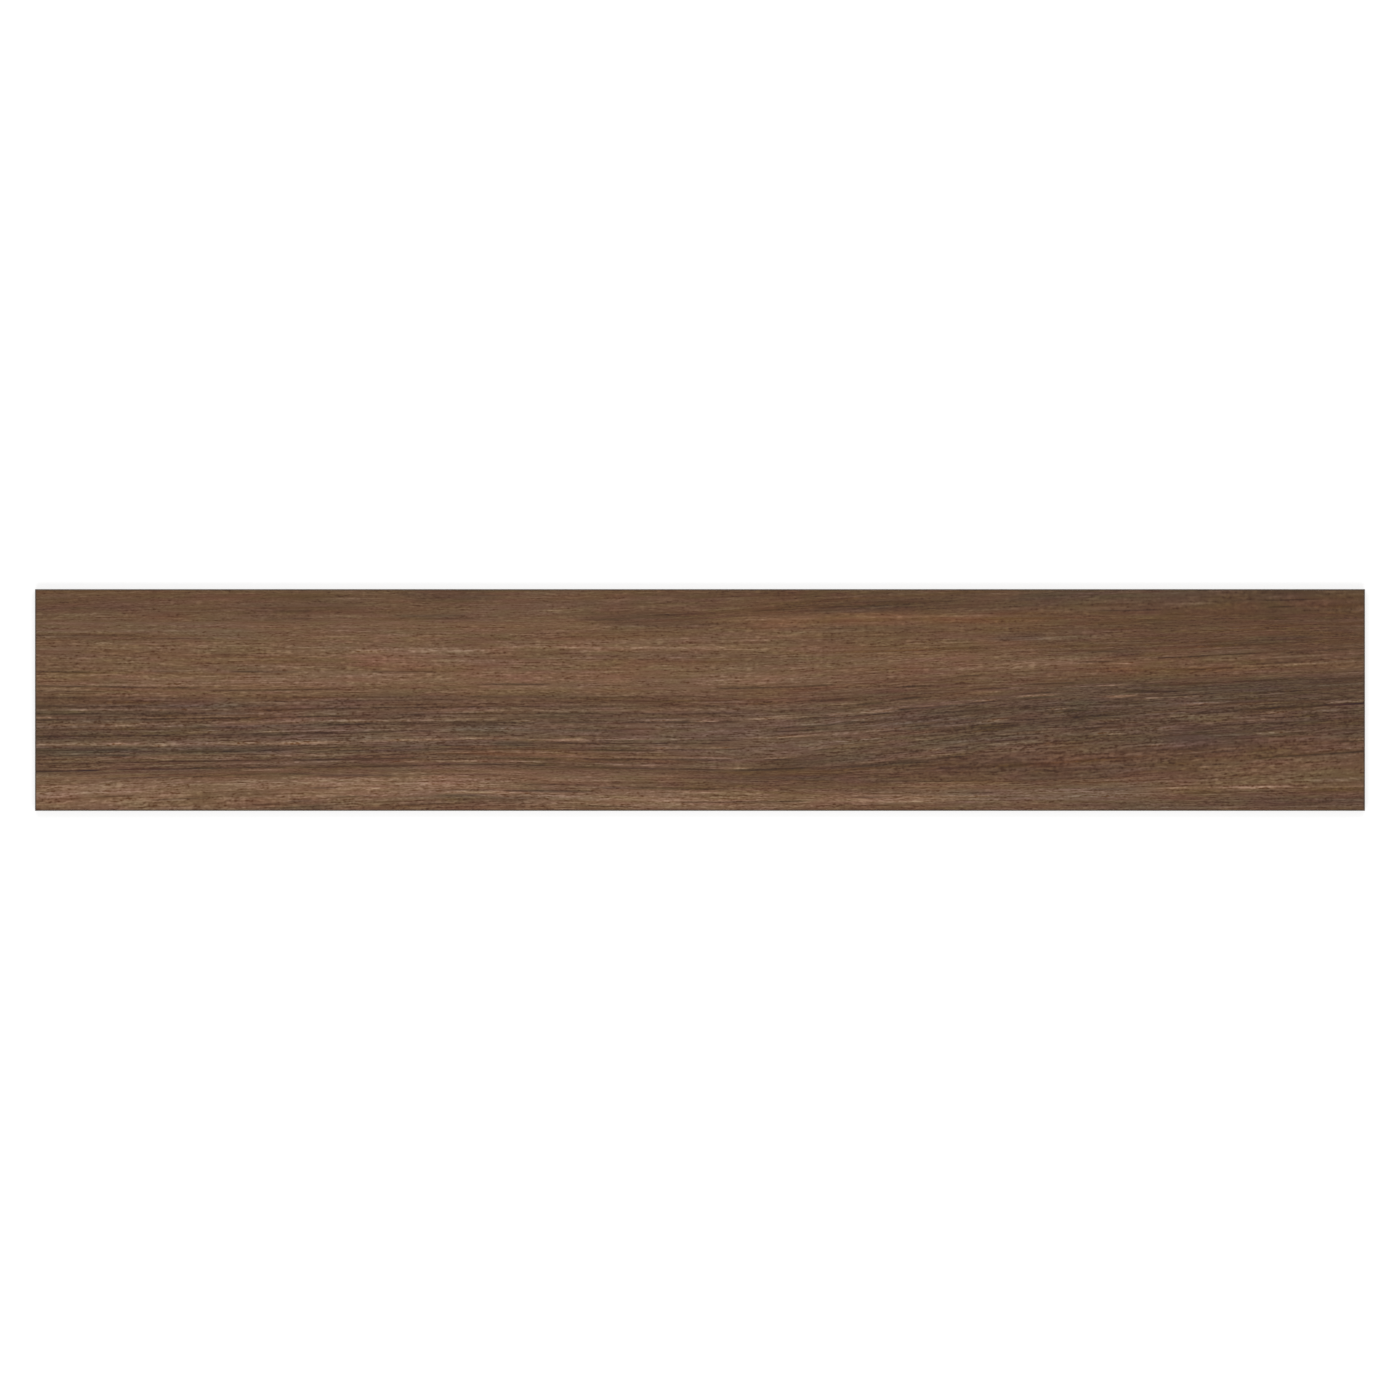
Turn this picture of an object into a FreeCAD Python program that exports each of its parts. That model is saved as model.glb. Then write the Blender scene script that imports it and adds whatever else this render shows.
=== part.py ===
"""Wood look porcelain plank tile: one pressed and fired slab with ground edges and a keyed back.

The tile lies flat on its back. The origin is the centre of the plane that the back ribs rest on,
+X runs along the plank, +Y across it and +Z out of the printed face. Lengths are in millimetres.
"""
import FreeCAD
import Part
import Sketcher
import os

# Driving dimensions: alias, value, what it is
SIZES = (
    ("tile_length", 1200.0, "length over the ground ends"),
    ("tile_width", 200.0, "width over the ground long edges"),
    ("tile_thickness", 9.0, "back ribs to printed face"),
    ("face_arris", 0.8, "leg of the fine bevel round the printed face"),
    ("back_arris", 0.5, "leg of the bevel round the back"),
    ("cell_length", 26.0, "sunk back cell along the plank, at its mouth"),
    ("cell_width", 26.0, "sunk back cell across the plank, at its mouth"),
    ("cell_depth", 0.7, "depth of a back cell"),
    ("cell_draft", 35.0, "lean of a cell's walls, in degrees, so that the die releases"),
    ("rib_width", 4.0, "rib left between two cells"),
    ("back_border", 10.0, "least plain band between the cells and the edge of the back"),
)


def sheet_of_sizes(doc):
    """A spreadsheet with one row for each driving dimension."""
    sheet = doc.addObject("Spreadsheet::Sheet", "sizes")
    for row, (alias, value, meaning) in enumerate(SIZES, start=1):
        sheet.set(f"A{row}", alias)
        sheet.set(f"B{row}", str(value))
        sheet.set(f"C{row}", meaning)
        sheet.setAlias(f"B{row}", alias)
    doc.recompute()
    return sheet


def origin_feature(body, role):
    """The plane or axis of the body's origin that has this role."""
    return next(f for f in body.Origin.OriginFeatures if f.Role == role)


def centred_rectangle(body, name, along, across):
    """A sketch on the plane of the back: a rectangle about its origin, sized by two expressions."""
    sketch = body.newObject("Sketcher::SketchObject", name)
    sketch.AttachmentSupport = [(origin_feature(body, "XY_Plane"), "")]
    sketch.MapMode = "FlatFace"
    corners = [FreeCAD.Vector(x, y, 0) for x, y in ((-1, -1), (1, -1), (1, 1), (-1, 1))]
    for start, end in zip(corners, corners[1:] + corners[:1]):
        sketch.addGeometry(Part.LineSegment(start, end), False)
    for side in range(4):
        sketch.addConstraint(Sketcher.Constraint("Coincident", side, 2, (side + 1) % 4, 1))
    for side, direction in enumerate(("Horizontal", "Vertical", "Horizontal", "Vertical")):
        sketch.addConstraint(Sketcher.Constraint(direction, side))
    sketch.addConstraint(Sketcher.Constraint("Symmetric", 0, 1, 1, 2, -1, 1))
    for label, constraint, expression in (
        ("along", Sketcher.Constraint("DistanceX", 0, 1, 0, 2, 2.0), along),
        ("across", Sketcher.Constraint("DistanceY", 1, 1, 1, 2, 2.0), across),
    ):
        index = sketch.addConstraint(constraint)
        sketch.renameConstraint(index, label)
        sketch.setExpression(f"Constraints.{label}", expression)
    return sketch


def flat_face_at(shape, height):
    """The name of the level face at this height."""
    slack = 1e-6  # how far out of level, or off the height, a face may be
    for number, face in enumerate(shape.Faces, start=1):
        box = face.BoundBox
        if box.ZLength < slack and abs(box.ZMin - height) < slack:
            return f"Face{number}"
    raise ValueError(f"no level face at {height} mm")


def bevel(body, name, base, height, leg):
    """A 45 degree bevel round the level face at this height, with its leg set by an expression."""
    feature = body.newObject("PartDesign::Chamfer", name)
    feature.Base = (base, [flat_face_at(base.Shape, height)])
    feature.setExpression("Size", leg)
    body.Document.recompute()
    return feature


def plank_tile(doc, sheet):
    """The slab, its two bevels and the grid of sunk cells that keys the back into its bed."""
    body = doc.addObject("PartDesign::Body", "PlankTile")
    body.Label = "plank_tile"

    slab = body.newObject("PartDesign::Pad", "Slab")
    slab.Profile = centred_rectangle(body, "SlabOutline", "sizes.tile_length", "sizes.tile_width")
    slab.setExpression("Length", "sizes.tile_thickness")
    doc.recompute()

    face_bevel = bevel(body, "FaceArris", slab, sheet.tile_thickness, "sizes.face_arris")
    bevel(body, "BackArris", face_bevel, 0.0, "sizes.back_arris")

    pitch_along = "(sizes.cell_length + sizes.rib_width)"
    pitch_across = "(sizes.cell_width + sizes.rib_width)"
    count_along = f"floor((sizes.tile_length - 2 * sizes.back_border + sizes.rib_width) / {pitch_along})"
    count_across = f"floor((sizes.tile_width - 2 * sizes.back_border + sizes.rib_width) / {pitch_across})"

    outline = centred_rectangle(body, "CellOutline", "sizes.cell_length", "sizes.cell_width")
    outline.setExpression("AttachmentOffset.Base.x", f"-({count_along} - 1) / 2 * {pitch_along}")
    outline.setExpression("AttachmentOffset.Base.y", f"-({count_across} - 1) / 2 * {pitch_across}")
    cell = body.newObject("PartDesign::Pocket", "Cell")
    cell.Profile = outline
    cell.Reversed = True
    cell.setExpression("Length", "sizes.cell_depth")
    cell.setExpression("TaperAngle", "-sizes.cell_draft")
    doc.recompute()

    cells = body.newObject("PartDesign::LinearPattern", "Cells")
    cells.Originals = [cell]
    cells.Direction = (origin_feature(body, "X_Axis"), [""])
    cells.Direction2 = (origin_feature(body, "Y_Axis"), [""])
    cells.Mode = "Spacing"
    cells.Mode2 = "Spacing"
    cells.Spacings2 = []  # no step of its own anywhere, so every step across is the pitch
    cells.Refine = False
    cells.setExpression("Offset", pitch_along)
    cells.setExpression("Offset2", pitch_across)
    cells.setExpression("Occurrences", count_along)
    cells.setExpression("Occurrences2", count_across)
    body.Tip = cells
    doc.recompute()
    return body


def check(doc, parts):
    """Stops the build if a feature failed or a sub-part isn't one valid solid."""
    for item in doc.Objects:
        if {"Invalid", "Error"} & set(item.State):
            raise RuntimeError(f"{item.Label} failed: {item.State}")
    for part in parts:
        if part.Shape.isNull() or not part.Shape.isValid() or len(part.Shape.Solids) != 1:
            raise RuntimeError(f"{part.Label} is not one valid solid")


def main():
    doc = FreeCAD.newDocument("plank_tile")
    sheet = sheet_of_sizes(doc)
    parts = [plank_tile(doc, sheet)]
    check(doc, parts)
    os.makedirs("parts", exist_ok=True)
    for part in parts:
        part.Shape.exportStep(f"parts/{part.Label}.step")
        box = part.Shape.BoundBox
        print(part.Label, box.XLength, box.YLength, box.ZLength, part.Shape.Volume)


main()
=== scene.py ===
import bpy
import math
import numpy as np
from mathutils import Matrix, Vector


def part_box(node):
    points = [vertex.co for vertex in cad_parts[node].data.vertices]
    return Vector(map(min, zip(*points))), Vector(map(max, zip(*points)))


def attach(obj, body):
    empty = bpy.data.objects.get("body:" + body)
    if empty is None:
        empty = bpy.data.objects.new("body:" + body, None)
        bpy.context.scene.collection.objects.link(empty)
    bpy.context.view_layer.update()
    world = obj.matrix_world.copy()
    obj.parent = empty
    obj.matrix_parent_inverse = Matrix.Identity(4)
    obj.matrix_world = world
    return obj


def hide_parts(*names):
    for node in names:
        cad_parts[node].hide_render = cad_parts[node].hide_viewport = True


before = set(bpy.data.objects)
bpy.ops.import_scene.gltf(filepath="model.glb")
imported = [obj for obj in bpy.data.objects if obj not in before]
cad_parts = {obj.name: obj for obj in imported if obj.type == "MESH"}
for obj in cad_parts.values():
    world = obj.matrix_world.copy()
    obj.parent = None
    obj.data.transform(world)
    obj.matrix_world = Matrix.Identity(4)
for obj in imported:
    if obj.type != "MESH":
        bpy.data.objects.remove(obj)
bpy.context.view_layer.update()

mm = 0.001  # the script works in mm and Blender in metres


def hexLevels(hexColour):
    # an sRGB hex value as levels of 0 to 1
    return np.array([int(hexColour[i:i + 2], 16) for i in (1, 3, 5)]) / 255


def fromSrgb(srgb):
    # sRGB levels of 0 to 1 made linear: a straight foot below 0.04045, a 2.4 power above it
    return np.where(srgb <= 0.04045, srgb / 12.92, ((srgb + 0.055) / 1.055) ** 2.4)


def linear(hexColour):
    # an sRGB hex value as linear RGB
    return fromSrgb(hexLevels(hexColour))


def eased(t):
    # 0 to 1 with level ends: 3t^2 - 2t^3
    t = np.clip(t, 0, 1)
    return t * t * (3 - 2 * t)


def ladder(value, rungs, heights):
    # value carried from one set of rungs to another, straight between neighbouring rungs
    carried = heights[0] + 0 * value
    for lower, upper, start, end in zip(rungs, rungs[1:], heights, heights[1:]):
        carried = carried + (end - start) * np.clip((value - lower) / (upper - lower), 0, 1)
    return carried


# How the grain runs over the plank: mm from its left end, then each line's mm below its top edge there
grainFlow = {
    "stations": (0, 180, 390, 540, 650, 720, 810, 900, 1040, 1200),
    "lines": (
        (-22, -26, -26, -28, -32, -36, -40, -43, -47, -52),
        (18, 14, 13.5, 11.5, 8, 4.5, 1, -2.5, -7, -12.5),
        (29.5, 29, 27, 25.5, 20.5, 16.5, 13.5, 9, 3.5, -2.5),
        (32.5, 32, 31.5, 30, 27, 25.5, 25, 23.5, 23, 21.5),
        (50.5, 50.5, 52, 52.5, 53, 51.5, 48.5, 46, 42, 38),
        (82, 82, 82, 81, 80.5, 76.5, 71, 67, 61, 53),
        (88.5, 91.5, 87.5, 89.5, 89, 85.5, 81, 76, 73, 65),
        (94.5, 95.5, 94, 94.5, 93, 91, 87, 84, 79, 73),
        (126.5, 124.5, 120, 120, 119.5, 116.5, 108, 101, 95, 87.5),
        (141, 140, 135, 135.5, 135, 131, 123, 115, 108.5, 99.5),
        (165, 161.5, 158, 161.5, 163.5, 160.5, 152.5, 146, 138.5, 129),
        (173, 168.5, 168, 170, 171.5, 173, 173, 172, 163.5, 153.5),
        (188.5, 182.5, 181, 182.5, 184, 184.5, 184.5, 182, 180, 178),
        (202, 196.5, 187, 191.5, 191.5, 190.5, 190, 189.5, 189.5, 187.5),
        (216.5, 212, 200.5, 202, 202, 201, 201, 200.5, 200.5, 199.5),
    ),
    "rowLines": range(3, 13),  # the lines that never leave the plank
    "step": 5.0,  # mm between the points at which a line is worked out
    "reach": 120,  # mm past each end of the plank to which it is worked out
    "run": 180,  # mm over which its slope at an end is taken, to carry it on
    "soften": 90,  # mm to each side over which its corners are rounded
}
grainLevels = [float(np.mean(line)) for line in grainFlow["lines"]]


def grainLines(along):
    # each grain line's mm below the top edge: straight between stations, carried on past both ends of the
    # plank at its mean slope there, then averaged under a bell
    stations = np.array(grainFlow["stations"], float)
    start, end = stations[0], stations[-1]
    step, reach, run = (grainFlow[name] for name in ("step", "reach", "run"))
    fine = np.arange(start - reach, end + reach + step, step)
    bell = np.hanning(int(2 * grainFlow["soften"] / step) + 1)
    bell = bell / bell.sum()
    heights = []
    for line in np.array(grainFlow["lines"], float):
        before = 2 * line[0] - np.interp(start + run, stations, line)
        after = 2 * line[-1] - np.interp(end - run, stations, line)
        path = np.interp(fine, [start - run, *stations, end + run], [before, *line, after])
        padded = np.pad(path, len(bell) // 2, mode="reflect", reflect_type="odd")
        heights.append(np.interp(along, fine, np.convolve(padded, bell, mode="valid")))
    return heights


def grainAt(along, down):
    # the grain coordinate in mm: the same all along one fibre, and about mm across the plank
    return ladder(down, grainLines(along), grainLevels)


# What a fibre noise fills along the grain and across it, in mm, and how much of that lies before the plank
fibreField = {"long": 1400, "wide": 420, "before": 50, "beside": 100}


def fibreNoise(along, grain, long, wide, seed):
    # levels from -1 to 1: rows of wide mm, each with random levels every long mm from its own start, eased
    rng = np.random.default_rng(seed)
    rowCount = int(fibreField["wide"] / wide) + 3
    stepCount = int(fibreField["long"] / long) + 4
    levels = rng.uniform(-1, 1, (rowCount, stepCount))
    starts = rng.uniform(0, 1, rowCount)
    row = (grain + fibreField["beside"]) / wide
    below = np.clip(np.floor(row).astype(int), 0, rowCount - 2)

    def onRow(index):
        place = (along + fibreField["before"]) / long + starts[index]
        step = np.clip(np.floor(place).astype(int), 0, stepCount - 2)
        share = eased(place - step)
        return levels[index, step] * (1 - share) + levels[index, step + 1] * share

    blend = eased(row - below)
    return onRow(below) * (1 - blend) + onRow(below + 1) * blend


# The print: a walnut plank with tan sapwood above and below a dark heart that sweeps up to the right
walnut = {
    "brown": "#684e3b",
    "deepBrown": "#5e4635",
    "tan": "#7b5f48",
    "paleTan": "#8f705a",
    "orangeTan": "#78553b",
    "pinkTan": "#7f5d4a",
    "greyTan": "#705a4a",
    "olive": "#6b5840",
    "redBrown": "#634738",
    "heartBrown": "#634d3f",
    "umber": "#503f33",
    "slate": "#504236",
    "plum": "#533e33",
    "lateWood": "#35271e",  # the dark side of a growth line
    "earlyWood": "#a3846a",  # its light side
}
# Broad bands: mm from the left end where one starts and ends, then at its middle its mm below the top edge,
# its half height, its colour and how much of it
bands = (
    (-40, 860, 61.5, 33, "tan", 0.75), (760, 1260, 66, 9, "tan", 0.5), (500, 860, 52, 20, "brown", 0.2),
    (780, 1110, 62, 20, "brown", 0.2), (-40, 640, 20, 16, "tan", 0.1), (-40, 90, 15, 6, "redBrown", 0.4),
    (190, 300, 13, 11, "deepBrown", 0.45), (-40, 190, 36, 6, "greyTan", 0.4),
    (325, 385, 24.5, 2.6, "slate", 0.5), (335, 415, 5, 6, "umber", 0.5),
    (390, 505, 18, 5, "greyTan", 0.35), (490, 640, 18, 9, "deepBrown", 0.35),
    (500, 625, 25.5, 4, "plum", 0.4), (570, 700, 4, 5, "deepBrown", 0.5),
    (660, 880, 10, 10, "deepBrown", 0.8), (700, 850, 14, 5, "umber", 0.3),
    (760, 830, 14.5, 3, "umber", 0.25), (885, 1000, 7, 6.5, "slate", 0.55),
    (625, 905, 28, 5, "orangeTan", 0.6), (990, 1260, 4, 7, "umber", 0.55),
    (1000, 1260, 20, 13, "deepBrown", 0.95), (1085, 1175, 5, 3, "umber", 0.5),
    (900, 1110, 40, 12, "deepBrown", 0.5), (1050, 1260, 46, 9, "deepBrown", 0.85),
    (1090, 1150, 47, 4, "umber", 0.35), (862, 905, 43.5, 3, "slate", 0.4),
    (970, 1003, 58, 4, "plum", 0.5), (750, 870, 67, 8, "pinkTan", 0.35),
    (865, 955, 68, 4.5, "pinkTan", 0.5), (975, 1260, 70, 4, "orangeTan", 0.35),
    (1110, 1260, 59.5, 3, "olive", 0.35), (290, 365, 66, 7, "pinkTan", 0.85),
    (385, 435, 70, 7, "pinkTan", 0.7), (395, 545, 80, 6, "pinkTan", 0.65),
    (512, 535, 85.5, 4, "pinkTan", 0.4), (270, 410, 54.5, 2.2, "paleTan", 0.5),
    (465, 640, 53, 2, "paleTan", 0.45), (15, 105, 60, 2.2, "brown", 0.6),
    (160, 220, 59.5, 2, "brown", 0.5), (505, 670, 61.5, 3.5, "brown", 0.5),
    (-40, 110, 43, 2.5, "brown", 0.6), (375, 510, 44, 3, "brown", 0.5),
    (90, 400, 81, 4.5, "paleTan", 0.35), (195, 265, 88, 4.5, "pinkTan", 0.4),
    (285, 430, 35.5, 3.5, "paleTan", 0.15), (420, 550, 60.5, 4, "brown", 0.45),
    (530, 610, 31, 3.5, "deepBrown", 0.85), (590, 690, 70.5, 5, "brown", 0.6),
    (690, 845, 39, 8, "brown", 0.65), (780, 895, 54, 5, "tan", 0.3), (990, 1065, 69, 4.5, "tan", 0.3),
    (1110, 1260, 58, 9, "deepBrown", 0.75), (-40, 300, 90, 4, "pinkTan", 0.4),
    (575, 700, 80, 6, "paleTan", 0.3), (690, 815, 82, 7, "orangeTan", 0.35),
    (705, 835, 84, 8, "redBrown", 0.65), (665, 740, 91, 3.5, "redBrown", 0.4),
    (-40, 150, 92.5, 5.5, "tan", 0.5), (-40, 680, 91.5, 5.5, "tan", 0.4),
    (-40, 770, 102, 5, "redBrown", 0.6), (770, 900, 90, 4, "redBrown", 0.5),
    (-40, 1260, 132.5, 27, "heartBrown", 0.7), (-40, 640, 130, 26, "greyTan", 0.14),
    (-40, 70, 134, 21, "umber", 0.3), (-40, 110, 101, 4.5, "plum", 0.2), (-40, 190, 110, 6, "slate", 0.4),
    (30, 85, 111, 4, "olive", 0.3), (84, 118, 131, 3, "olive", 0.4), (110, 170, 146, 3, "olive", 0.3),
    (180, 390, 110, 7, "redBrown", 0.4), (-40, 235, 131, 4, "umber", 0.3),
    (-40, 255, 146, 2.6, "slate", 0.55), (180, 390, 155.5, 4.5, "redBrown", 0.4),
    (400, 590, 150, 4.5, "orangeTan", 0.5), (380, 425, 125, 4, "slate", 0.4),
    (415, 450, 140.5, 2.4, "slate", 0.55), (345, 445, 165.5, 5.5, "pinkTan", 0.45),
    (670, 730, 110, 3.5, "greyTan", 0.35), (670, 770, 154, 6, "umber", 0.5),
    (835, 900, 124, 6, "greyTan", 0.15), (930, 1010, 87, 5, "slate", 0.25),
    (505, 700, 140, 12, "greyTan", 0.35), (765, 1000, 117, 14, "umber", 0.5),
    (815, 905, 137, 8, "slate", 0.4), (885, 975, 105, 11, "slate", 0.25),
    (960, 1260, 92, 14, "umber", 0.45), (975, 1260, 87.5, 6, "umber", 0.4),
    (1040, 1260, 98, 12, "umber", 0.25), (1000, 1260, 124, 14, "umber", 0.5),
    (1040, 1085, 116.5, 3, "olive", 0.5), (1035, 1110, 127, 6, "plum", 0.7),
    (1010, 1105, 134, 9, "plum", 0.95), (1105, 1165, 121, 4, "umber", 0.55),
    (1160, 1260, 130, 5, "slate", 0.4), (970, 1040, 149, 7, "redBrown", 0.5),
    (1105, 1260, 139, 8, "redBrown", 0.6), (940, 1080, 135, 7, "umber", 0.4),
    (590, 1040, 168.5, 7, "redBrown", 0.85), (620, 1040, 168.5, 5, "umber", 0.35),
    (795, 915, 155, 7, "plum", 0.4), (-40, 430, 182, 13, "tan", 0.95),
    (-40, 430, 182, 10, "paleTan", 0.48), (-40, 90, 186, 6, "paleTan", 0.3),
    (-40, 120, 170.5, 3.5, "tan", 0.5), (-40, 125, 174.5, 4.5, "paleTan", 0.35),
    (140, 195, 179.5, 4.5, "brown", 0.35), (775, 885, 176.5, 5, "tan", 0.7),
    (235, 325, 174, 3.5, "paleTan", 0.6), (345, 410, 175, 5, "pinkTan", 0.6),
    (330, 430, 177, 8, "paleTan", 0.35), (140, 225, 185, 3, "brown", 0.4),
    (335, 440, 188, 2.6, "plum", 0.2), (480, 605, 178.5, 2.6, "redBrown", 0.5),
    (205, 275, 197.5, 2.5, "umber", 0.4), (440, 685, 188.5, 8, "tan", 0.9),
    (440, 700, 190, 6, "paleTan", 0.3), (520, 740, 195.5, 4, "paleTan", 0.4),
    (430, 590, 170.5, 4.5, "tan", 0.6), (640, 825, 188.5, 5, "tan", 0.6),
    (730, 810, 190.5, 2.2, "paleTan", 0.5), (820, 1020, 186, 7, "greyTan", 0.75),
    (700, 1020, 188, 6, "paleTan", 0.2), (935, 1060, 196.5, 3.5, "heartBrown", 0.5),
    (1020, 1260, 170, 11, "tan", 0.3), (1090, 1260, 166, 6, "olive", 0.5),
    (1020, 1260, 190.5, 6, "heartBrown", 0.75), (1100, 1260, 193, 4, "plum", 0.35),
)
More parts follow.
